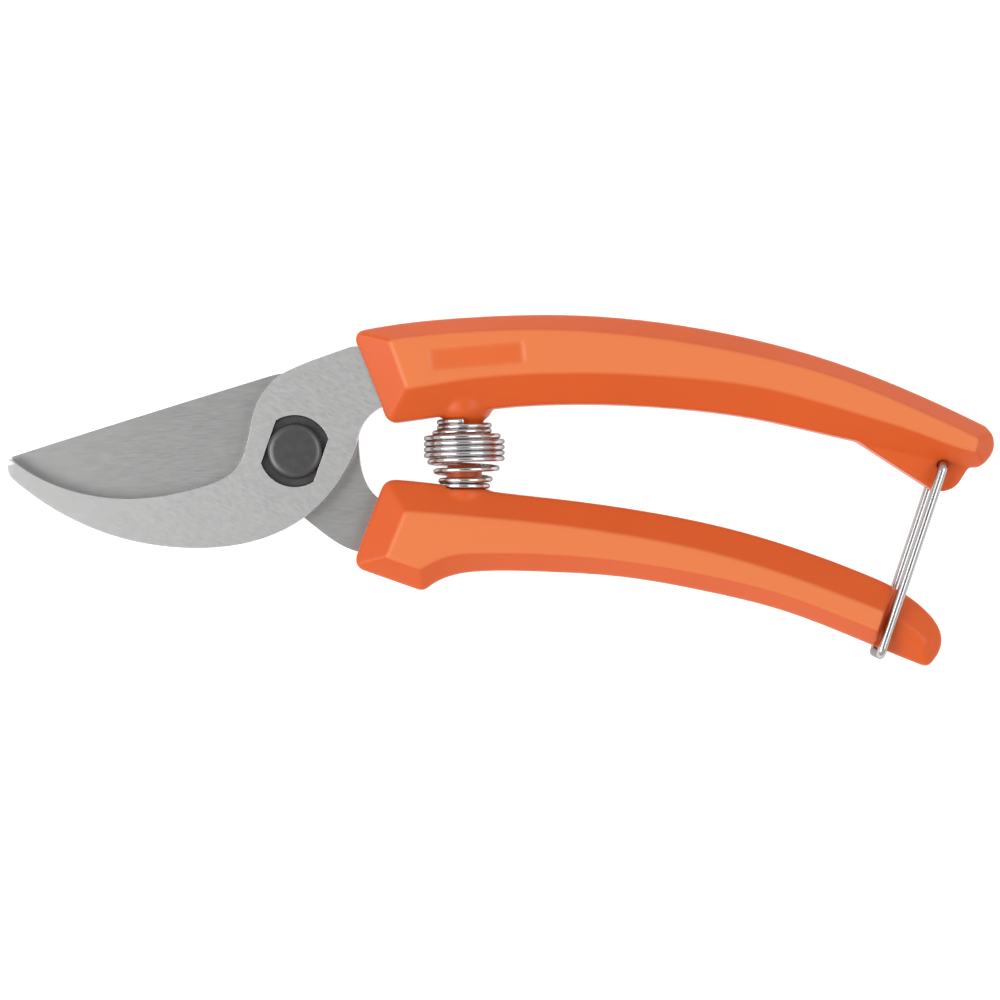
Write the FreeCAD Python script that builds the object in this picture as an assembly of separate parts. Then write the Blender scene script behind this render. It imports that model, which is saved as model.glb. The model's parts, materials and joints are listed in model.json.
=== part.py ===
"""Bypass pruner with moulded grips, a keyed pivot bolt, a coil spring and a wire catch.

Everything is drawn about the pivot axis: X runs towards the grips, Y towards the upper grip
and Z out of the front. At the end each solid is moved so that the closed pruner lies flat,
with its origin in the middle of the space it takes up and its rear on Z = 0. Millimetres.
"""
import FreeCAD, Part
import math
import os

V = FreeCAD.Vector
Z_AXIS = V(0, 0, 1)
ORIGIN = V(0, 0, 0)

# Where the lying pruner's origin is, seen from the pivot
LENGTH_CENTRE = 43.6
WIDTH_CENTRE = -8.37
BENCH = -8.8

# Blades: they slide on each other at Z = 0
BLADE_GAP = 0.05
COUNTER_THICKNESS = 4.0
CUTTING_THICKNESS = 3.2
EDGE_LAND = 0.3
BEVEL_WIDTH = 5.5

# Pivot
SHAFT_RADIUS = 4.0
RUNNING_CLEARANCE = 0.05
POCKET_RADIUS = 7.6
POCKET_FLATS = 11.8
POCKET_DEPTH = 2.6
KEY_CLEARANCE = 0.05
KEY_TILT = -19.0
FLANGE_THICKNESS = 1.0
BUTTON_RADIUS = 5.8
BUTTON_HEIGHT = 2.2
BUTTON_CHAMFER = 0.6
THREAD_RADIUS = 3.0
WASHER_RADIUS = 6.2
WASHER_THICKNESS = 0.9
NUT_FLATS = 10.0
NUT_HEIGHT = 3.2
LOCK_RING_RADIUS = 4.1
LOCK_RING_HEIGHT = 1.0
BOLT_END = 0.2

# Grips
HALF_THICKNESS = 8.8
HALF_RIM = 4.4
FRONT_CORNER_RADIUS = 2.4
TANG_END = 86.0
LOCK_HOLE_RADIUS = 2.0

# Ear that carries the catch, and the step it closes over
EAR_HALF_THICKNESS = 3.9
EAR_HOLE = V(136.9, -3.0, 0)
EAR_HOLE_RADIUS = 1.05
TONGUE_HALF_THICKNESS = 5.3
TONGUE_RIM = 2.6
STEP_CLEARANCE = 0.5
STEP_WALL = 0.9

# Catch wire
WIRE_RADIUS = 1.0
CATCH_HOOK = V(123.6, -42.9, 0)
CATCH_HALF_WIDTH = 6.75
CATCH_BEND = 1.4
CATCH_HOOK_DEPTH = 2.6

# Spring and its seats, on a line parallel to Y
SPRING_X = 35.8
SPRING_WIRE = 0.56
SPRING_TURNS = 10.3
SPRING_HEIGHTS = [(0.0, 6.4), (1.0, 5.25), (3.0, 3.0), (7.0, -1.8), (8.0, -3.95),
                  (9.0, -6.2), (10.0, -7.42), (10.3, -7.75)]
SPRING_RADII = [(0.0, 5.3), (1.9, 5.3), (2.3, 6.4), (2.75, 7.2), (3.2, 8.05),
                (6.9, 8.05), (7.3, 7.2), (7.75, 7.0), (8.25, 6.0), (8.75, 5.5), (9.2, 4.95),
                (10.3, 4.95)]
SPRING_LEAN = [(0.0, 0.0), (7.0, 0.0), (9.0, -0.05), (10.3, -0.05)]
UPPER_SEAT = 6.4
LOWER_SEAT = -8.1
SEAT_RADIUS = 5.75
UPPER_BOSS = (6.0, 0.3, 3.0, 3.0, 7.0)
LOWER_BOSS = (5.8, 0.5, 0.6, 2.0, 4.5)
PEG_RADIUS = 4.2
PEG_TIP_RADIUS = 3.7
PEG_LENGTH = 5.2

# Plain recessed panel on the front of the upper grip
PANEL_CENTRE = V(38.6, 19.9, 0)
PANEL_LENGTH = 20.0
PANEL_WIDTH = 5.0
PANEL_DEPTH = 0.35
PANEL_TILT = 5.0


# ---- small helpers ------------------------------------------------------------------

def flat(points, z=0.0):
    return [V(x, y, z) for x, y in points]


def curve(points, z=0.0):
    """A smooth edge through the points."""
    spline = Part.BSplineCurve()
    spline.interpolate(flat(points, z))
    return spline.toShape()


def line(start, end, z=0.0):
    return Part.makeLine(V(start[0], start[1], z), V(end[0], end[1], z))


def arc(start, middle, end, z=0.0):
    return Part.Arc(*flat([start, middle, end], z)).toShape()


def plate(edges, bottom, top):
    """The outline's solid between two heights."""
    face = Part.Face(Part.Wire(Part.__sortEdges__(edges)))
    solid = face.extrude(V(0, 0, top - bottom))
    solid.translate(V(0, 0, bottom))
    return solid


def disc(centre, radius, bottom, top):
    return Part.makeCylinder(radius, top - bottom, V(centre[0], centre[1], bottom))


def mirrored(shape):
    return shape.mirror(ORIGIN, Z_AXIS)


def rounded_corners(solid, corners):
    """Round the upright edges that stand on the named corner points."""
    for (x, y), radius in corners:
        edges = []
        for edge in solid.Edges:
            box = edge.BoundBox
            upright = box.XLength < 0.01 and box.YLength < 0.01
            if upright and math.hypot(box.XMin - x, box.YMin - y) < 0.1:
                edges.append(edge)
        solid = solid.makeFillet(radius, edges)
    return solid


def slope_cutter(points, widths, high, low, inward):
    """What lies in front of a sloping face along one side.

    The face drops from high to low over each width; inward is +1 when the solid is on
    the left of the points' direction, -1 when it is on the right.
    """
    reach = 7.0
    first = V(points[0][0], points[0][1], 0)
    last = V(points[-1][0], points[-1][1], 0)
    spline = Part.BSplineCurve()
    spline.interpolate(flat(points))
    start_way = spline.tangent(spline.FirstParameter)[0]
    end_way = spline.tangent(spline.LastParameter)[0]
    stations = [(first - start_way * reach, start_way, widths[0])]
    for (x, y), width in zip(points, widths):
        way = spline.tangent(spline.parameter(V(x, y, 0)))[0]
        stations.append((V(x, y, 0), way, width))
    stations.append((last + end_way * reach, end_way, widths[-1]))
    inner, outer = [], []
    for place, way, width in stations:
        across = V(-way.y, way.x, 0) * inward
        slope = (high - low) / width
        inside = width * 1.15
        outside = 2.5
        inner.append(place + across * inside + V(0, 0, low + slope * inside))
        outer.append(place - across * outside + V(0, 0, low - slope * outside))
    marks = [float(i) for i in range(len(stations))]
    edges = []
    for line_points in (inner, outer):
        side = Part.BSplineCurve()
        side.interpolate(Points=line_points, Parameters=marks)
        edges.append(side.toShape())
    return Part.makeRuledSurface(edges[0], edges[1]).extrude(V(0, 0, 14))


# ---- blades -------------------------------------------------------------------------

COUNTER_INNER = [(-60.3, -1.6), (-50.0, -7.5), (-35.2, -10.1), (-20.3, -7.8), (-12.2, -3.5),
                 (-9.9, 2.2), (-8.2, 9.5), (-5.4, 14.0), (-2.6, 16.4)]
COUNTER_SHOULDER = [(-2.6, 16.4), (1.0, 18.1), (5.1, 19.7), (12.0, 22.1)]
COUNTER_TANG_TOP = [(12.0, 22.1), (26.5, 23.1), (43.5, 24.0), (64.7, 23.8), (TANG_END, 21.4)]
COUNTER_TANG_BOTTOM = [(TANG_END, 13.3), (64.7, 15.4), (43.5, 15.0), (28.6, 12.8), (20.5, 10.0)]
COUNTER_NECK = [(20.5, 10.0), (16.4, 8.1), (14.3, 5.5), (13.4, 2.9)]
COUNTER_OUTER = [(13.4, 2.9), (12.1, -1.0), (8.6, -7.3), (1.0, -14.7), (-9.7, -19.3),
                 (-22.4, -20.5), (-37.3, -18.2), (-49.8, -12.9), (-59.2, -6.3)]
COUNTER_LOCK_HOLES = [(34.0, 18.6), (54.0, 19.8), (74.0, 18.8)]

CUTTING_SPINE = [(-60.5, -1.2), (-33.0, 7.5), (-5.5, 16.0)]
CUTTING_CROWN = [(-5.5, 16.0), (5.5, 15.0), (13.3, 3.9)]
CUTTING_MOUTH = [(13.3, 3.9), (13.6, -1.6), (14.8, -6.4), (19.0, -10.9)]
CUTTING_TANG_TOP = [(19.0, -10.9), (32.8, -12.9), (54.1, -15.0), (75.3, -18.4), (TANG_END, -20.3)]
CUTTING_TANG_BOTTOM = [(TANG_END, -25.8), (64.7, -22.4), (43.5, -21.1), (26.5, -22.0),
                       (13.1, -21.3)]
CUTTING_SHOULDER = [(13.1, -21.3), (10.6, -20.4), (2.0, -14.3), (-4.4, -10.5)]
CUTTING_HEEL = [(-4.4, -10.5), (-9.7, -7.3)]
CUTTING_EDGE = [(-9.7, -7.3), (-20.3, -12.2), (-33.0, -13.9), (-45.8, -11.8), (-56.4, -6.1),
                (-60.5, -1.2)]
CUTTING_LOCK_HOLES = [(34.0, -17.1), (54.0, -18.3), (74.0, -21.2)]


def build_counter_blade():
    """The hooked blade that holds the stem, with the tang of the upper grip."""
    outline = [
        curve(COUNTER_INNER),
        curve(COUNTER_SHOULDER),
        curve(COUNTER_TANG_TOP),
        line(COUNTER_TANG_TOP[-1], COUNTER_TANG_BOTTOM[0]),
        curve(COUNTER_TANG_BOTTOM),
        curve(COUNTER_NECK),
        curve(COUNTER_OUTER),
        arc((-59.2, -6.3), (-60.6, -4.2), (-60.3, -1.6)),
    ]
    front = BLADE_GAP + COUNTER_THICKNESS
    blade = plate(outline, BLADE_GAP, front)
    blade = blade.cut(disc((0, 0), SHAFT_RADIUS + RUNNING_CLEARANCE, 0, front + 1))
    blade = blade.cut(keyed_disc(0.0, front - POCKET_DEPTH, front + 1))
    for place in COUNTER_LOCK_HOLES:
        blade = blade.cut(disc(place, LOCK_HOLE_RADIUS, 0, front + 1))
    return blade


def build_cutting_blade():
    """The sharpened blade behind it, with the tang of the lower grip."""
    outline = [
        curve(CUTTING_SPINE),
        arc(*CUTTING_CROWN),
        curve(CUTTING_MOUTH),
        curve(CUTTING_TANG_TOP),
        line(CUTTING_TANG_TOP[-1], CUTTING_TANG_BOTTOM[0]),
        curve(CUTTING_TANG_BOTTOM),
        curve(CUTTING_SHOULDER),
        line(*CUTTING_HEEL),
        curve(CUTTING_EDGE),
    ]
    rear = -BLADE_GAP - CUTTING_THICKNESS
    blade = plate(outline, rear, -BLADE_GAP)
    blade = blade.cut(disc((0, 0), SHAFT_RADIUS + RUNNING_CLEARANCE, rear - 1, 0))
    land = BLADE_GAP + EDGE_LAND
    widths = [BEVEL_WIDTH] * (len(CUTTING_EDGE) - 1) + [BEVEL_WIDTH * 0.6]
    grind = slope_cutter(CUTTING_EDGE, widths, -rear, land, -1)
    blade = blade.cut(mirrored(grind))
    for place in CUTTING_LOCK_HOLES:
        blade = blade.cut(disc(place, LOCK_HOLE_RADIUS, rear - 1, 0))
    return blade


# ---- pivot --------------------------------------------------------------------------

def keyed_disc(gap, bottom, top):
    """A round disc with two flats, as the pivot bolt's flange and its pocket have."""
    body = disc((0, 0), POCKET_RADIUS - gap, bottom, top)
    wide = POCKET_FLATS - 2 * gap
    block = Part.makeBox(wide, 40, top - bottom, V(-wide / 2, -20, bottom))
    block.rotate(ORIGIN, Z_AXIS, KEY_TILT)
    return body.common(block)


def build_pivot_bolt():
    """Button, keyed flange, plain shaft and threaded end in one turned piece."""
    seat = BLADE_GAP + COUNTER_THICKNESS - POCKET_DEPTH
    flange_top = seat + FLANGE_THICKNESS
    shoulder = -2 * BLADE_GAP - CUTTING_THICKNESS
    end = shoulder - WASHER_THICKNESS - NUT_HEIGHT - BOLT_END
    button_top = flange_top + BUTTON_HEIGHT
    button = disc((0, 0), BUTTON_RADIUS, flange_top, button_top - BUTTON_CHAMFER)
    crown = Part.makeCone(BUTTON_RADIUS, BUTTON_RADIUS - BUTTON_CHAMFER, BUTTON_CHAMFER,
                          V(0, 0, button_top - BUTTON_CHAMFER))
    bolt = keyed_disc(KEY_CLEARANCE, seat, flange_top)
    bolt = bolt.fuse([button, crown, disc((0, 0), SHAFT_RADIUS, shoulder, seat)])
    bolt = bolt.fuse(disc((0, 0), THREAD_RADIUS, end, shoulder))
    return bolt.removeSplitter()


def build_washer():
    top = -2 * BLADE_GAP - CUTTING_THICKNESS
    ring = disc((0, 0), WASHER_RADIUS, top - WASHER_THICKNESS, top)
    return ring.cut(disc((0, 0), THREAD_RADIUS + 0.1, top - 3, top + 1))


def nut_heights():
    top = -2 * BLADE_GAP - CUTTING_THICKNESS - WASHER_THICKNESS
    return top - NUT_HEIGHT, top


def build_nut():
    """Thin hexagon lock nut with chamfered corners and a groove for its lock ring."""
    bottom, top = nut_heights()
    corner = NUT_FLATS / math.sqrt(3)
    points = []
    for i in range(7):
        angle = math.radians(60 * i + 11)
        points.append(V(corner * math.cos(angle), corner * math.sin(angle), bottom))
    hexagon = Part.Face(Part.makePolygon(points)).extrude(V(0, 0, NUT_HEIGHT))
    rise = corner - NUT_FLATS / 2
    lower = Part.makeCone(NUT_FLATS / 2, corner + 2, rise + 2, V(0, 0, bottom))
    nut = hexagon.common(lower.fuse(disc((0, 0), corner + 2, bottom + rise + 2, top + 1)))
    nut = nut.cut(disc((0, 0), THREAD_RADIUS, bottom - 1, top + 1))
    return nut.cut(disc((0, 0), LOCK_RING_RADIUS, bottom - 1, bottom + LOCK_RING_HEIGHT))


def build_lock_ring():
    bottom, top = nut_heights()
    ring = disc((0, 0), LOCK_RING_RADIUS, bottom, bottom + LOCK_RING_HEIGHT)
    return ring.cut(disc((0, 0), THREAD_RADIUS, bottom - 1, top))


# ---- spring -------------------------------------------------------------------------

def between(table, value):
    """The value on the straight lines between the stated ones."""
    for (a, low), (b, high) in zip(table, table[1:]):
        if value <= b + 1e-9:
            part = (value - a) / (b - a)
            return low + (high - low) * part
    return table[-1][1]


def softened(table, value):
    """The same, with its corners rounded off over an eighth of a turn."""
    total = 0.0
    for shift in (-0.06, -0.03, 0.0, 0.03, 0.06):
        total += between(table, min(max(value + shift, 0.0), table[-1][0]))
    return total / 5


def spring_path():
    """Centre line of the coil: narrow ends, a wide barrel and two open turns."""
    steps = 175
    points = []
    for i in range(steps + 1):
        turn = SPRING_TURNS * i / steps
        radius = softened(SPRING_RADII, turn)
        angle = 2 * math.pi * (turn + 0.25)
        side = radius * math.cos(angle)
        height = softened(SPRING_HEIGHTS, turn) + side * softened(SPRING_LEAN, turn)
        points.append(V(SPRING_X + side, height, radius * math.sin(angle)))
    return points


def build_spring():
    centre_line = Part.BSplineCurve()
    points = spring_path()
    centre_line.interpolate(points)
    start_way = centre_line.tangent(centre_line.FirstParameter)[0]
    section = Part.Wire([Part.Circle(points[0], start_way, SPRING_WIRE).toShape()])
    return Part.Wire([centre_line.toShape()]).makePipeShell([section], True, True)


def upright_disc(radius, bottom, top, top_radius=None):
    """A round boss or peg along Y on the spring's line."""
    if top_radius is None:
        return Part.makeCylinder(radius, top - bottom, V(SPRING_X, bottom, 0), V(0, 1, 0))
    return Part.makeCone(radius, top_radius, top - bottom, V(SPRING_X, bottom, 0), V(0, 1, 0))


def rounded_boss(bottom, top, radius, offset, bottom_round, top_round):
    """Two round bosses side by side through the grip, each with rounded ends."""
    boss = None
    for way in (-1, 1):
        half = upright_disc(radius, bottom, top)
        low_edge = [edge for edge in half.Edges if edge.BoundBox.YMax < bottom + 0.01]
        half = half.makeFillet(bottom_round, low_edge)
        high_edge = [edge for edge in half.Edges if edge.BoundBox.YMin > top - 0.01]
        half = half.makeFillet(top_round, high_edge)
        half.translate(V(0, 0, way * offset))
        boss = boss.fuse(half) if boss else half
    return boss


# ---- grips --------------------------------------------------------------------------

UPPER_TOP = [(12.1, 25.1), (22.2, 26.9), (39.2, 28.4), (56.2, 28.8), (73.1, 27.7), (90.1, 25.1),
             (107.1, 21.0), (124.0, 15.2), (141.0, 7.7), (146.1, 5.2)]
UPPER_TOP_WIDTHS = [3.6, 3.5, 3.5, 3.7, 3.9, 3.9, 3.6, 3.5, 3.5, 3.4]
UPPER_NOSE = [(146.1, 5.2), (147.9, 1.7), (144.3, -3.6)]
UPPER_NOSE_RIM = [(148.6, 4.9), (146.9, -3.2)]
UPPER_NOSE_WIDTHS = [4.2, 4.2]
UPPER_BOTTOM = [(144.3, -3.6), (137.0, -2.3), (128.5, -0.1), (115.7, 2.8), (98.7, 6.6),
                (81.7, 8.9), (60.5, 9.9), (41.3, 8.9), (30.3, 7.3), (19.8, 5.8)]
UPPER_BOTTOM_WIDTHS = [3.2, 3.9, 4.9, 6.0, 6.9, 6.9, 6.9, 7.1, 7.1, 6.9]
UPPER_FRONT = [(19.8, 5.8), (12.1, 25.1)]
UPPER_FRONT_WIDTHS = [6.5, 7.1]

LOWER_TOP = [(19.1, -5.9), (30.7, -7.0), (41.3, -8.5), (56.2, -10.2), (73.3, -12.6),
             (90.3, -16.0), (107.3, -21.0), (120.1, -25.8), (128.5, -29.8), (134.4, -34.5)]
LOWER_TOP_WIDTHS = [7.0, 6.6, 6.0, 5.8, 6.0, 6.2, 6.4, 6.4, 5.8, 4.8]
LOWER_END = [(134.4, -34.5), (137.0, -40.3), (133.9, -45.8)]
LOWER_END_WIDTHS = [4.6, 3.6, 4.0]
LOWER_BOTTOM = [(133.9, -45.8), (120.1, -40.2), (103.1, -33.7), (86.1, -29.5), (69.1, -26.6),
                (52.0, -25.5), (40.0, -25.4), (33.0, -26.4), (27.2, -29.7)]
LOWER_BOTTOM_WIDTHS = [3.6, 3.3, 3.4, 3.6, 3.6, 4.0, 4.1, 4.4, 4.5]
LOWER_SPUR = [(27.2, -29.7), (12.2, -24.4)]
LOWER_SPUR_WIDTHS = [4.5, 4.5]
LOWER_FRONT = [(12.2, -24.4), (19.1, -5.9)]
LOWER_FRONT_WIDTHS = [6.3, 6.9]


def grip_body(outline, corners, slopes):
    """A bar of the outline's shape whose faces slope down to a rim all the way round."""
    edges = [curve(points) if len(points) > 2 else line(*points) for points in outline]
    body = plate(edges, -HALF_THICKNESS, HALF_THICKNESS)
    body = rounded_corners(body, corners)
    for points, widths in slopes:
        cutter = slope_cutter(points, widths, HALF_THICKNESS, HALF_RIM, -1)
        body = body.cut(cutter).cut(mirrored(cutter))
    return body


def build_upper_grip(blade):
    """The grip over the counter blade's tang, with the catch's ear and a spring boss."""
    outline = [UPPER_TOP, UPPER_NOSE, UPPER_BOTTOM, UPPER_FRONT]
    slopes = [(UPPER_TOP, UPPER_TOP_WIDTHS), (UPPER_NOSE_RIM, UPPER_NOSE_WIDTHS),
              (UPPER_BOTTOM, UPPER_BOTTOM_WIDTHS), (UPPER_FRONT, UPPER_FRONT_WIDTHS)]
    corners = [(UPPER_FRONT[0], FRONT_CORNER_RADIUS), (UPPER_FRONT[1], 2.0),
               (UPPER_NOSE[0], 2.0), (UPPER_NOSE[2], 1.5)]
    body = grip_body(outline, corners, slopes)
    panel = Part.makeBox(PANEL_LENGTH, PANEL_WIDTH, 1,
                         V(-PANEL_LENGTH / 2, -PANEL_WIDTH / 2, HALF_THICKNESS - PANEL_DEPTH))
    panel.rotate(ORIGIN, Z_AXIS, PANEL_TILT)
    panel.translate(PANEL_CENTRE)
    body = body.cut(panel)
    ear = plate([line((113.0, 6.0), (118.2, 2.6)), line((118.2, 2.6), (133.8, -7.5)),
                 arc((133.8, -7.5), (137.9, -8.4), (141.0, -5.9)),
                 line((141.0, -5.9), (142.3, -3.9)), line((142.3, -3.9), (142.0, 2.0)),
                 line((142.0, 2.0), (113.0, 6.0))], -EAR_HALF_THICKNESS, EAR_HALF_THICKNESS)
    radius, offset, tip_round, root_round, depth = UPPER_BOSS
    boss = rounded_boss(UPPER_SEAT, UPPER_SEAT + depth, radius, offset, tip_round, root_round)
    peg = upright_disc(PEG_TIP_RADIUS, UPPER_SEAT - PEG_LENGTH, UPPER_SEAT + 3, PEG_RADIUS)
    body = body.fuse([ear, boss, peg])
    body = body.cut(disc((EAR_HOLE.x, EAR_HOLE.y), EAR_HOLE_RADIUS, -9.5, 9.5))
    return body.cut(blade)


def build_lower_grip(blade):
    """The grip over the cutting blade's tang, with a thumb spur and a stepped end."""
    outline = [LOWER_TOP, LOWER_END, LOWER_BOTTOM, LOWER_SPUR, LOWER_FRONT]
    slopes = [(LOWER_TOP, LOWER_TOP_WIDTHS), (LOWER_END, LOWER_END_WIDTHS),
              (LOWER_BOTTOM, LOWER_BOTTOM_WIDTHS), (LOWER_SPUR, LOWER_SPUR_WIDTHS),
              (LOWER_FRONT, LOWER_FRONT_WIDTHS)]
    corners = [(LOWER_FRONT[1], 3.0), (LOWER_FRONT[0], FRONT_CORNER_RADIUS),
               (LOWER_SPUR[0], 1.8), (LOWER_END[2], 1.5)]
    body = grip_body(outline, corners, slopes)
    step = step_cutter(TONGUE_HALF_THICKNESS)
    body = body.cut(step).cut(mirrored(step))
    beside_leg = step_cutter(0.0)
    for points, widths in slopes[:3]:
        slope = slope_cutter(points, widths, TONGUE_HALF_THICKNESS, TONGUE_RIM, -1)
        slope = slope.common(beside_leg)
        body = body.cut(slope).cut(mirrored(slope))
    body = body.cut(upright_disc(SEAT_RADIUS, LOWER_SEAT, LOWER_SEAT + 6))
    radius, offset, tip_round, root_round, depth = LOWER_BOSS
    seat = rounded_boss(LOWER_SEAT - depth, LOWER_SEAT, radius, offset, root_round, tip_round)
    peg = upright_disc(PEG_RADIUS, LOWER_SEAT - 3, LOWER_SEAT + PEG_LENGTH, PEG_TIP_RADIUS)
    body = body.fuse([seat, peg])
    return body.cut(blade)


def catch_way():
    way = CATCH_HOOK - EAR_HOLE
    return way.normalize()


def step_cutter(floor):
    """Room for the catch's leg and all beyond it, down to a floor, with a sloping wall."""
    way = catch_way()
    across = V(-way.y, way.x, 0)
    foot = -WIRE_RADIUS - STEP_CLEARANCE
    rise = HALF_THICKNESS - TONGUE_HALF_THICKNESS
    section = [(foot, floor), (foot, TONGUE_HALF_THICKNESS),
               (foot - STEP_WALL * 1.2, TONGUE_HALF_THICKNESS + rise * 1.2),
               (30.0, TONGUE_HALF_THICKNESS + rise * 1.2), (30.0, floor)]
    if floor == TONGUE_HALF_THICKNESS:
        section = section[1:]
    points = [CATCH_HOOK + across * side + V(0, 0, z) for side, z in section]
    points = [point - way * 26 for point in points]
    return Part.Face(Part.makePolygon(points + [points[0]])).extrude(way * 40)


# ---- catch --------------------------------------------------------------------------

def build_catch():
    """Bent spring wire: two hooked ends in the ear and a bar across under the lower grip."""
    way = catch_way()
    length = (CATCH_HOOK - EAR_HOLE).Length
    half = CATCH_HALF_WIDTH
    corners = [(0, EAR_HALF_THICKNESS - CATCH_HOOK_DEPTH), (0, half), (length, half),
               (length, -half), (0, -half), (0, CATCH_HOOK_DEPTH - EAR_HALF_THICKNESS)]
    places = [EAR_HOLE + way * along + V(0, 0, z) for along, z in corners]
    edges = []
    start = places[0]
    for before, corner, after in zip(places, places[1:], places[2:]):
        coming = (corner - before).normalize()
        going = (after - corner).normalize()
        leave = corner - coming * CATCH_BEND
        enter = corner + going * CATCH_BEND
        centre = leave + going * CATCH_BEND
        middle = centre + (corner - centre).normalize() * CATCH_BEND
        edges.append(Part.makeLine(start, leave))
        edges.append(Part.Arc(leave, middle, enter).toShape())
        start = enter
    edges.append(Part.makeLine(start, places[-1]))
    section = Part.Wire([Part.Circle(places[0], Z_AXIS, WIRE_RADIUS).toShape()])
    return Part.Wire(edges).makePipeShell([section], True, True)


# ---- put together -------------------------------------------------------------------

counter_blade = build_counter_blade()
cutting_blade = build_cutting_blade()
solids = {
    "counter_blade": counter_blade,
    "cutting_blade": cutting_blade,
    "upper_grip": build_upper_grip(counter_blade),
    "lower_grip": build_lower_grip(cutting_blade),
    "pivot_bolt": build_pivot_bolt(),
    "pivot_washer": build_washer(),
    "pivot_nut": build_nut(),
    "nut_lock_ring": build_lock_ring(),
    "coil_spring": build_spring(),
    "catch_wire": build_catch(),
}

os.makedirs("parts", exist_ok=True)
for name, solid in solids.items():
    solid.translate(V(-LENGTH_CENTRE, -WIDTH_CENTRE, -BENCH))
    box = solid.optimalBoundingBox(False, False)
    print(name, solid.ShapeType, len(solid.Solids), solid.isValid(), round(solid.Volume, 1),
          [round(v, 2) for v in (box.XMin, box.XMax, box.YMin, box.YMax, box.ZMin, box.ZMax)])
    solid.exportStep("parts/" + name + ".step")
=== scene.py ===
"""Bypass pruner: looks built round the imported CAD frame. Lengths are in metres."""
import json
import math

import bmesh
import bpy
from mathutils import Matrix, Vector


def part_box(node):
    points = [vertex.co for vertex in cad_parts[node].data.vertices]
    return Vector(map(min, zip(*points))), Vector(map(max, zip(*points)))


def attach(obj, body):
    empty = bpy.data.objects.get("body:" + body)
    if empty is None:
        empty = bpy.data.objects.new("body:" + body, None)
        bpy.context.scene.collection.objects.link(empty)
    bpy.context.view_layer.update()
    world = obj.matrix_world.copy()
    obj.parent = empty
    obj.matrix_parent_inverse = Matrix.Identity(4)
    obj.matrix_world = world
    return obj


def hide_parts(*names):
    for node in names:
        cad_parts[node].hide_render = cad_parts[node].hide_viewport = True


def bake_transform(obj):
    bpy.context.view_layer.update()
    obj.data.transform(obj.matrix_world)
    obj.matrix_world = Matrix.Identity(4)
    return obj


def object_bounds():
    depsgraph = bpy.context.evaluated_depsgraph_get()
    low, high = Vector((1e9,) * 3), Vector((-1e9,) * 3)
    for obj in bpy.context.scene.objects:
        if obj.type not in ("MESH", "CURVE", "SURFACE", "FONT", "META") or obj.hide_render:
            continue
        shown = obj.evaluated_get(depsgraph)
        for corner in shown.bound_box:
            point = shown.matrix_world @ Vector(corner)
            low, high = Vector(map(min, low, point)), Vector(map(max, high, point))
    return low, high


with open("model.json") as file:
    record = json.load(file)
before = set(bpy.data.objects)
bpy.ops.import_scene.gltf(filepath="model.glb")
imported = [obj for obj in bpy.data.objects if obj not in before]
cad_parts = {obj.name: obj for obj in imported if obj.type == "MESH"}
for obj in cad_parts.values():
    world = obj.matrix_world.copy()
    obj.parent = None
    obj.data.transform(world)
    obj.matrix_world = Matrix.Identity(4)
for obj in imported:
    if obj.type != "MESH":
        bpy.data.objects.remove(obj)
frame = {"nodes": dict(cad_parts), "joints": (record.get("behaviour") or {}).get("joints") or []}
cad_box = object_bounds()
nodes = frame["nodes"]

pivot = Vector(next(j["pos_m"] for j in frame["joints"] if j["name"] == "blade_pivot"))
low, high = cad_box
middle_z = pivot.z
half_thickness = high[2] - middle_z

# Softened edges
WELD_GAP = 0.000002
BLADE_EDGE = 0.00007
NUT_EDGE = 0.0001
MOULD_CELL = 0.0004
MOULD_PASSES = 8

# Pivot bolt: heights from the button's face down, radii from the pivot
BUTTON_HEIGHT = 0.0022
BUTTON_RADIUS = 0.0058
FLANGE_RADIUS = 0.00755
FLANGE_FLATS = 0.00585
FLANGE_SEAT = 0.0032
FLANGE_EDGE = 0.00012
KEY_TILT = -19.0
SHAFT_RADIUS = 0.004
SHAFT_END = 0.0033
THREAD_RADIUS = 0.003
THREAD_CHAMFER = 0.0004
NO_FLAT = 1.0
BOLT_SIDES = 144
BOLT_CREASE = 38.0

# Spring: its tables are in turns and millimetres
SPRING_X = 0.0358
SPRING_WIRE = 0.000575
SPRING_TURNS = 10.3
SPRING_RADII = [(0.0, 5.3), (1.9, 5.3), (2.3, 6.4), (2.75, 7.2), (3.2, 8.05), (6.9, 8.05),
                (7.3, 7.2), (7.75, 7.0), (8.25, 6.0), (8.75, 5.5), (9.2, 4.95),
                (SPRING_TURNS, 4.95)]
SPRING_HEIGHTS = [(0.0, 6.4), (1.0, 5.25), (3.0, 3.0), (7.0, -1.8), (8.0, -3.95), (9.0, -6.2),
                  (10.0, -7.42), (SPRING_TURNS, -7.75)]
SPRING_LEANS = [(0.0, 0.0), (7.0, 0.0), (9.0, -0.05), (SPRING_TURNS, -0.05)]
START_TURN = 0.25
STEPS_PER_TURN = 64
WIRE_SIDES = 16

# Floor and camera
FLOOR_REACH = 3.0
FLOOR_DROP = 0.0002
CAMERA_PLACE = (-0.0002, -0.00198, 0.76)
WIDTH_SEEN = 0.2125
SENSOR_WIDTH = 36.0

button_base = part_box("pivot_bolt")[1][2] - BUTTON_HEIGHT


# ---- materials ----------------------------------------------------------------------

def material(name):
    mat = bpy.data.materials.new(name)
    mat.use_nodes = True
    tree = mat.node_tree
    shader = tree.nodes["Principled BSDF"]
    return mat, tree, shader


def add(tree, kind, **inputs):
    node = tree.nodes.new(kind)
    for key, value in inputs.items():
        node.inputs[key.replace("_", " ")].default_value = value
    return node


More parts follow.
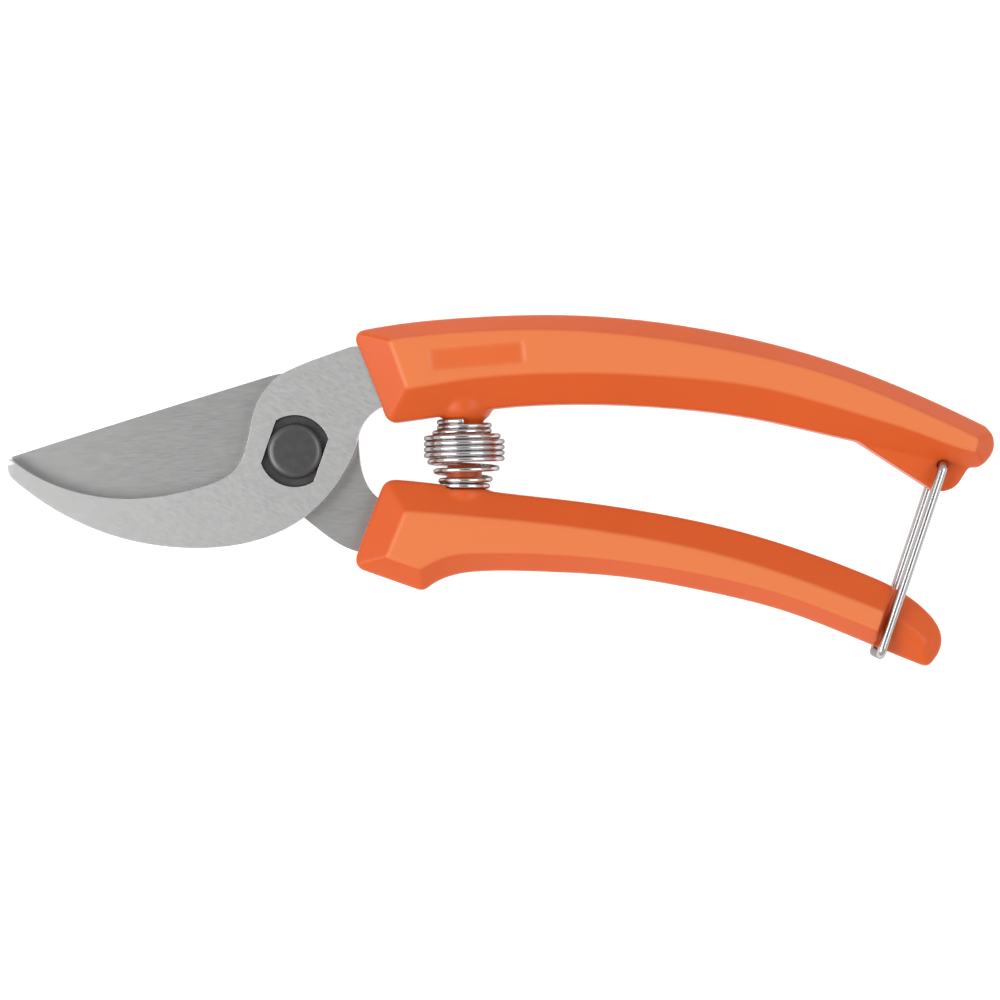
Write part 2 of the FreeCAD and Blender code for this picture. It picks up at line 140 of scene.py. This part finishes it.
def maths(tree, operation, first, second=None):
    """A Math node whose inputs are sockets or numbers."""
    node = tree.nodes.new("ShaderNodeMath")
    node.operation = operation
    for socket, value in zip(node.inputs, (first, second)):
        if value is None:
            continue
        if isinstance(value, (int, float)):
            socket.default_value = value
        else:
            tree.links.new(value, socket)
    return node.outputs["Value"]


def ramp(tree, source, stops):
    node = tree.nodes.new("ShaderNodeValToRGB")
    elements = node.color_ramp.elements
    while len(elements) < len(stops):
        elements.new(0.5)
    for element, (place, colour) in zip(elements, stops):
        element.position = place
        element.color = (*colour, 1.0)
    tree.links.new(source, node.inputs["Fac"])
    return node.outputs["Color"]


def spread(tree, source, low_value, high_value, start=0.0, end=1.0):
    node = add(tree, "ShaderNodeMapRange", From_Min=start, From_Max=end, To_Min=low_value,
               To_Max=high_value)
    tree.links.new(source, node.inputs["Value"])
    return node.outputs["Result"]


def mixed(tree, factor, first, second):
    """One colour socket out of two, by a factor socket."""
    node = tree.nodes.new("ShaderNodeMix")
    node.data_type = "RGBA"
    colours = [socket for socket in node.inputs if socket.type == "RGBA"]
    tree.links.new(factor, node.inputs["Factor"])
    for socket, value in zip(colours, (first, second)):
        if isinstance(value, tuple):
            socket.default_value = (*value, 1.0)
        else:
            tree.links.new(value, socket)
    return next(socket for socket in node.outputs if socket.type == "RGBA")


def axis_socket(tree, vector, axis):
    axes = tree.nodes.new("ShaderNodeSeparateXYZ")
    tree.links.new(vector, axes.inputs["Vector"])
    return axes.outputs[axis]


def coordinates(tree, angle=0.0, scale=(1.0, 1.0, 1.0)):
    """Object coordinates turned about Z, then stretched, for grain that runs one way."""
    place = tree.nodes.new("ShaderNodeTexCoord")
    turned = tree.nodes.new("ShaderNodeMapping")
    turned.inputs["Rotation"].default_value = (0.0, 0.0, math.radians(angle))
    tree.links.new(place.outputs["Object"], turned.inputs["Vector"])
    scaled = tree.nodes.new("ShaderNodeMapping")
    scaled.inputs["Scale"].default_value = scale
    tree.links.new(turned.outputs["Vector"], scaled.inputs["Vector"])
    return scaled.outputs["Vector"]


def noise(tree, vector, scale, detail, roughness, distortion=0.0):
    node = add(tree, "ShaderNodeTexNoise", Scale=scale, Detail=detail, Roughness=roughness,
               Distortion=distortion)
    tree.links.new(vector, node.inputs["Vector"])
    return node.outputs["Fac"]


def bumped(tree, shader, height, strength, distance):
    bump = add(tree, "ShaderNodeBump", Strength=strength, Distance=distance)
    tree.links.new(height, bump.inputs["Height"])
    tree.links.new(bump.outputs["Normal"], shader.inputs["Normal"])


def darkened(colour, share):
    return tuple(share * c for c in colour)


def blended(tree, first, second, share):
    """Two factors added, the second with the given share."""
    return maths(tree, "ADD", maths(tree, "MULTIPLY", first, 1.0 - share),
                 maths(tree, "MULTIPLY", second, share))


def ground_steel(name, dark, light, angle, grain_scale, cloud_scale, cloud, rough):
    """Ground steel: fine scratches one way, over slow clouding from the wheel."""
    mat, tree, shader = material(name)
    shader.inputs["Metallic"].default_value = 1.0
    fine = noise(tree, coordinates(tree, angle, grain_scale), 1.0, 4.0, 0.65, 0.3)
    broad = noise(tree, coordinates(tree, angle, cloud_scale), 1.0, 3.0, 0.5, 0.4)
    tree.links.new(ramp(tree, blended(tree, fine, broad, cloud), [(0.32, dark), (0.68, light)]),
                   shader.inputs["Base Color"])
    tree.links.new(spread(tree, fine, rough - 0.03, rough + 0.03, 0.3, 0.7),
                   shader.inputs["Roughness"])
    bumped(tree, shader, fine, 0.1, 0.000005)
    return mat


def above(tree, place, height, blend):
    """0 below a height over the middle plane, 1 above it, on both sides alike."""
    offset = maths(tree, "ABSOLUTE",
                   maths(tree, "SUBTRACT", axis_socket(tree, place, "Z"), middle_z))
    return spread(tree, offset, 0.0, 1.0, height - blend, height)


def grip_plastic(name, deep, flat_face_colour):
    """Satin moulded plastic, with painted sheen: its flat sides are coloured paler, standing in
    for the lamp's reflection.
    """
    mat, tree, shader = material(name)
    shader.inputs["IOR"].default_value = 1.46
    shader.inputs["Specular IOR Level"].default_value = 0.4
    place = coordinates(tree)
    drift = noise(tree, place, 55.0, 3.0, 0.5)
    texture = noise(tree, place, 1500.0, 2.0, 0.6)
    body = ramp(tree, drift, [(0.3, darkened(deep, 0.95)), (0.7, deep)])
    # Painted highlight: the flat sides at full thickness take the paler colour, for the sheen of
    # the lamp above.
    wear_and_sheen = above(tree, place, half_thickness - 0.0001, 0.0004)
    tree.links.new(mixed(tree, wear_and_sheen, body, flat_face_colour), shader.inputs["Base Color"])
    tree.links.new(spread(tree, texture, 0.34, 0.44), shader.inputs["Roughness"])
    bumped(tree, shader, texture, 0.2, 0.00004)
    return mat


def plain_plastic(name, dark, light):
    mat, tree, shader = material(name)
    drift = noise(tree, coordinates(tree), 300.0, 3.0, 0.5)
    tree.links.new(ramp(tree, drift, [(0.3, dark), (0.7, light)]), shader.inputs["Base Color"])
    tree.links.new(spread(tree, drift, 0.4, 0.5), shader.inputs["Roughness"])
    return mat


def plated(name, colour, rough, wear, edge=1.0):
    """Bright plated steel with faint wear, darker towards its edges where edge is under 1."""
    mat, tree, shader = material(name)
    shader.inputs["Metallic"].default_value = 1.0
    shader.inputs["Specular Tint"].default_value = (edge, edge, edge, 1.0)
    wear_and_sheen = noise(tree, coordinates(tree), 420.0, 3.0, 0.6)
    tree.links.new(ramp(tree, wear_and_sheen, [(0.35, darkened(colour, wear)), (0.65, colour)]),
                   shader.inputs["Base Color"])
    tree.links.new(spread(tree, wear_and_sheen, rough, rough + 0.08, 0.3, 0.7),
                   shader.inputs["Roughness"])
    return mat


def black_oxide(name, dark, face):
    """Blackened steel: turned rings on the face, and a flange near black in the recess round it,
    black oxide with painted shade.
    """
    mat, tree, shader = material(name)
    shader.inputs["Metallic"].default_value = 0.8
    place = tree.nodes.new("ShaderNodeTexCoord")
    centred = tree.nodes.new("ShaderNodeMapping")
    centred.inputs["Location"].default_value = tuple(-c for c in pivot)
    tree.links.new(place.outputs["Object"], centred.inputs["Vector"])
    rings = add(tree, "ShaderNodeTexWave", Scale=1300.0, Distortion=1.5, Detail=2.0)
    rings.wave_type = "RINGS"
    rings.rings_direction = "Z"
    tree.links.new(centred.outputs["Vector"], rings.inputs["Vector"])
    cloud = noise(tree, place.outputs["Object"], 600.0, 5.0, 0.6)
    grain = blended(tree, rings.outputs["Fac"], cloud, 0.75)
    flat_face_colour = ramp(tree, grain, [(0.3, darkened(face, 0.8)), (0.7, face)])
    # Painted shade: below the button's face the flange takes the near-black colour, black oxide
    # darkened for the shade of its pocket.
    raised = above(tree, place.outputs["Object"], button_base - middle_z, 0.0003)
    tree.links.new(mixed(tree, raised, dark, flat_face_colour), shader.inputs["Base Color"])
    tree.links.new(spread(tree, cloud, 0.34, 0.42), shader.inputs["Roughness"])
    return mat


finishes = {
    "counter_blade": ground_steel("counter_steel", (0.574, 0.572, 0.569), (0.61, 0.608, 0.605),
                                  24.0, (700.0, 2300.0, 800.0), (170.0, 320.0, 90.0), 0.4, 0.42),
    "cutting_blade": ground_steel("blade_steel", (0.475, 0.473, 0.47), (0.545, 0.543, 0.54),
                                  -4.0, (260.0, 4200.0, 800.0), (90.0, 900.0, 90.0), 0.35, 0.38),
    "pivot_washer": plated("plated_steel", (0.62, 0.62, 0.63), 0.22, 0.85),
    "nut_lock_ring": plain_plastic("ring_nylon", (0.70, 0.70, 0.66), (0.78, 0.78, 0.75)),
    "catch_wire": plated("catch_steel", (0.52, 0.52, 0.52), 0.2, 0.97, 0.35),
}
finishes["pivot_nut"] = finishes["pivot_washer"]
# The second colour is the painted sheen on the grips' flat sides.
grip_finish = grip_plastic("grip_plastic", (0.675, 0.1, 0.0125), (0.74, 0.19, 0.058))
# The first colour is black oxide darkened as painted shade for the flange's pocket.
bolt_finish = black_oxide("dark_steel", (0.012, 0.012, 0.012), (0.122, 0.122, 0.122))
spring_finish = plated("spring_wire", (0.64, 0.64, 0.645), 0.13, 0.97, 0.3)


def dress(obj, mat):
    obj.data.materials.clear()
    obj.data.materials.append(mat)


for name, mat in finishes.items():
    dress(nodes[name], mat)


# ---- objects ------------------------------------------------------------------------

def placed(name, data):
    """A new object in the scene, with the given mesh, light or camera."""
    obj = bpy.data.objects.new(name, data)
    bpy.context.scene.collection.objects.link(obj)
    return obj


def weld(obj):
    obj.modifiers.new("joined", "WELD").merge_threshold = WELD_GAP


def ring_mesh(name, rings):
    """A closed mesh through rings of points, each ring joined to the next."""
    mesh = bmesh.new()
    rings = [[mesh.verts.new(point) for point in ring] for ring in rings]
    for first, second in zip(rings, rings[1:]):
        count = len(first)
        for k in range(count):
            n = (k + 1) % count
            mesh.faces.new((first[k], first[n], second[n], second[k]))
    mesh.faces.new(list(reversed(rings[0])))
    mesh.faces.new(rings[-1])
    bmesh.ops.recalc_face_normals(mesh, faces=mesh.faces)
    data = bpy.data.meshes.new(name)
    mesh.to_mesh(data)
    mesh.free()
    return data


# ---- rounded edges ------------------------------------------------------------------

def round_edges(name, width):
    """Rounds a solid's sharp edges with modifiers that leave its own mesh alone."""
    obj = nodes[name]
    weld(obj)
    bevel = obj.modifiers.new("rounded", "BEVEL")
    bevel.width = width
    bevel.segments = 2
    bevel.limit_method = "ANGLE"
    bevel.angle_limit = math.radians(30.0)
    bevel.use_clamp_overlap = True
    shading = obj.modifiers.new("face_normals", "WEIGHTED_NORMAL")
    shading.weight = 60
    shading.keep_sharp = False


round_edges("counter_blade", BLADE_EDGE)
round_edges("cutting_blade", BLADE_EDGE)
round_edges("pivot_washer", NUT_EDGE)
round_edges("pivot_nut", NUT_EDGE)


def moulded(name, body):
    """The grip with every edge and inner corner softened, as it leaves its mould."""
    rough = placed(name + "_rough", nodes[name].data.copy())
    weld(rough)
    remesh = rough.modifiers.new("even", "REMESH")
    remesh.mode = "VOXEL"
    remesh.voxel_size = MOULD_CELL
    remesh.use_smooth_shade = True
    smooth = rough.modifiers.new("soft", "SMOOTH")
    smooth.factor = 0.5
    smooth.iterations = MOULD_PASSES
    bpy.context.view_layer.update()
    evaluated = rough.evaluated_get(bpy.context.evaluated_depsgraph_get())
    mesh = bpy.data.meshes.new_from_object(evaluated)
    bpy.data.objects.remove(rough)
    bottom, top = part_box(name)[0][2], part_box(name)[1][2]
    for vertex in mesh.vertices:
        vertex.co.z = min(max(vertex.co.z, bottom), top)
    for polygon in mesh.polygons:
        polygon.use_smooth = True
    grip = placed(name + "_moulded", mesh)
    dress(grip, grip_finish)
    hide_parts(name)
    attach(grip, body)


moulded("upper_grip", "upper")
moulded("lower_grip", "lower")


# ---- pivot bolt ---------------------------------------------------------------------

def build_bolt():
    """One turned piece: button, flange with two flats, plain shaft and threaded end."""
    bottom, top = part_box("pivot_bolt")[0][2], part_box("pivot_bolt")[1][2]
    seat = top - FLANGE_SEAT
    shaft_end = middle_z - SHAFT_END
    tilt = math.radians(KEY_TILT)

    # Height, radius and distance of the flats from the axis
    button = [(top, 0.0042, NO_FLAT), (top - 0.00002, 0.0051, NO_FLAT),
              (top - 0.0002, 0.00536, NO_FLAT), (top - 0.00055, 0.00572, NO_FLAT),
              (top - 0.0007, BUTTON_RADIUS, NO_FLAT),
              (button_base + 0.0001, BUTTON_RADIUS, NO_FLAT)]
    flange = [(button_base, BUTTON_RADIUS + 0.00008, FLANGE_FLATS),
              (button_base, FLANGE_RADIUS - 0.00015, FLANGE_FLATS - FLANGE_EDGE),
              (button_base - FLANGE_EDGE, FLANGE_RADIUS, FLANGE_FLATS),
              (seat, FLANGE_RADIUS, FLANGE_FLATS)]
    shaft = [(seat, SHAFT_RADIUS, NO_FLAT), (shaft_end, SHAFT_RADIUS, NO_FLAT),
             (shaft_end, THREAD_RADIUS, NO_FLAT),
             (bottom + THREAD_CHAMFER, THREAD_RADIUS, NO_FLAT),
             (bottom, THREAD_RADIUS - THREAD_CHAMFER, NO_FLAT)]

    def ring(z, radius, flats):
        points = []
        for k in range(BOLT_SIDES):
            angle = 2 * math.pi * k / BOLT_SIDES
            reach = min(radius, flats / max(abs(math.cos(angle - tilt)), 1e-6))
            points.append((pivot.x + reach * math.cos(angle),
                           pivot.y + reach * math.sin(angle), z))
        return points

    data = ring_mesh("bolt", [ring(*level) for level in button + flange + shaft])
    for polygon in data.polygons:
        polygon.use_smooth = True
    bolt = placed("bolt", data)
    bolt.modifiers.new("sharp", "EDGE_SPLIT").split_angle = math.radians(BOLT_CREASE)
    dress(bolt, bolt_finish)
    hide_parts("pivot_bolt")
    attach(bolt, "upper")


build_bolt()


# ---- spring -------------------------------------------------------------------------

def between(table, value):
    """The value on the table's straight lines."""
    for (a, first), (b, second) in zip(table, table[1:]):
        if value <= b:
            return first + (second - first) * (value - a) / (b - a)
    return table[-1][1]


def softened(table, value):
    """The value on the table's straight lines, averaged over an eighth of a turn."""
    last = table[-1][0]
    shifts = (-0.06, -0.03, 0.0, 0.03, 0.06)
    return sum(between(table, min(max(value + shift, 0.0), last)) for shift in shifts) / 5


def build_spring():
    """A close-wound barrel of round wire, with narrow ends and two open turns."""
    centre_x = pivot.x + SPRING_X

    def angle_at(turn):
        return 2 * math.pi * (turn + START_TURN)

    def point(turn):
        turn = min(max(turn, 0.0), SPRING_TURNS)
        radius = softened(SPRING_RADII, turn) * 0.001
        side = radius * math.cos(angle_at(turn))
        height = softened(SPRING_HEIGHTS, turn) * 0.001 + side * softened(SPRING_LEANS, turn)
        return Vector((centre_x + side, pivot.y + height,
                       middle_z + radius * math.sin(angle_at(turn))))

    def ring(turn):
        way = (point(turn + 0.002) - point(turn - 0.002)).normalized()
        out = Vector((math.cos(angle_at(turn)), 0.0, math.sin(angle_at(turn))))
        out = (out - way * out.dot(way)).normalized()
        side = way.cross(out)
        points = []
        for k in range(WIRE_SIDES):
            a = 2 * math.pi * k / WIRE_SIDES
            points.append(point(turn) + (out * math.cos(a) + side * math.sin(a)) * SPRING_WIRE)
        return points

    count = int(SPRING_TURNS * STEPS_PER_TURN) + 1
    data = ring_mesh("spring", [ring(i / STEPS_PER_TURN) for i in range(count)])
    for polygon in data.polygons:
        polygon.use_smooth = len(polygon.vertices) == 4
    spring = placed("spring", data)
    dress(spring, spring_finish)
    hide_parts("coil_spring")
    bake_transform(spring)


build_spring()


# ---- floor, light and camera --------------------------------------------------------

def build_floor():
    """A pale floor that glows enough to photograph as white."""
    mat, tree, shader = material("floor_white")
    shader.inputs["Base Color"].default_value = (0.40, 0.40, 0.40, 1.0)
    shader.inputs["Roughness"].default_value = 0.9
    shader.inputs["Emission Color"].default_value = (1.0, 1.0, 1.0, 1.0)
    shader.inputs["Emission Strength"].default_value = 0.9
    mesh = bpy.data.meshes.new("floor")
    corners = [(-FLOOR_REACH, -FLOOR_REACH, 0), (FLOOR_REACH, -FLOOR_REACH, 0),
               (FLOOR_REACH, FLOOR_REACH, 0), (-FLOOR_REACH, FLOOR_REACH, 0)]
    mesh.from_pydata(corners, [], [(0, 1, 2, 3)])
    floor = placed("floor", mesh)
    floor.location = (0, 0, low[2] - FLOOR_DROP)
    dress(floor, mat)


def area_light(name, place, size, power):
    """A square softbox that faces the middle of the pruner."""
    data = bpy.data.lights.new(name, "AREA")
    data.shape = "RECTANGLE"
    data.size = size
    data.size_y = size
    data.energy = power
    lamp = placed(name, data)
    lamp.location = place
    lamp.rotation_euler = (-Vector(place)).to_track_quat("-Z", "Y").to_euler()


def build_sky():
    """A grey room whose ceiling is dark, so that flat steel is not washed out."""
    world = bpy.data.worlds.new("studio")
    world.use_nodes = True
    tree = world.node_tree
    way = tree.nodes.new("ShaderNodeTexCoord").outputs["Generated"]
    tones = ramp(tree, axis_socket(tree, way, "Z"),
                 [(0.0, (0.6, 0.6, 0.6)), (0.92, (0.66, 0.66, 0.66)),
                  (0.975, (0.08, 0.08, 0.08))])
    tree.links.new(tones, tree.nodes["Background"].inputs["Color"])
    bpy.context.scene.world = world


def build_camera():
    """Straight above the lying pruner."""
    data = bpy.data.cameras.new("camera")
    data.sensor_width = SENSOR_WIDTH
    data.lens = SENSOR_WIDTH * (CAMERA_PLACE[2] - middle_z) / WIDTH_SEEN
    camera = placed("camera", data)
    camera.location = CAMERA_PLACE
    camera.rotation_euler = (0, 0, 0)
    bpy.context.scene.camera = camera


build_floor()
area_light("left", (-0.85, -0.15, 0.85), 0.9, 9.5)
area_light("right", (0.75, 0.10, 1.0), 0.8, 4.5)
build_sky()
build_camera()

bpy.context.scene.view_settings.view_transform = "Standard"
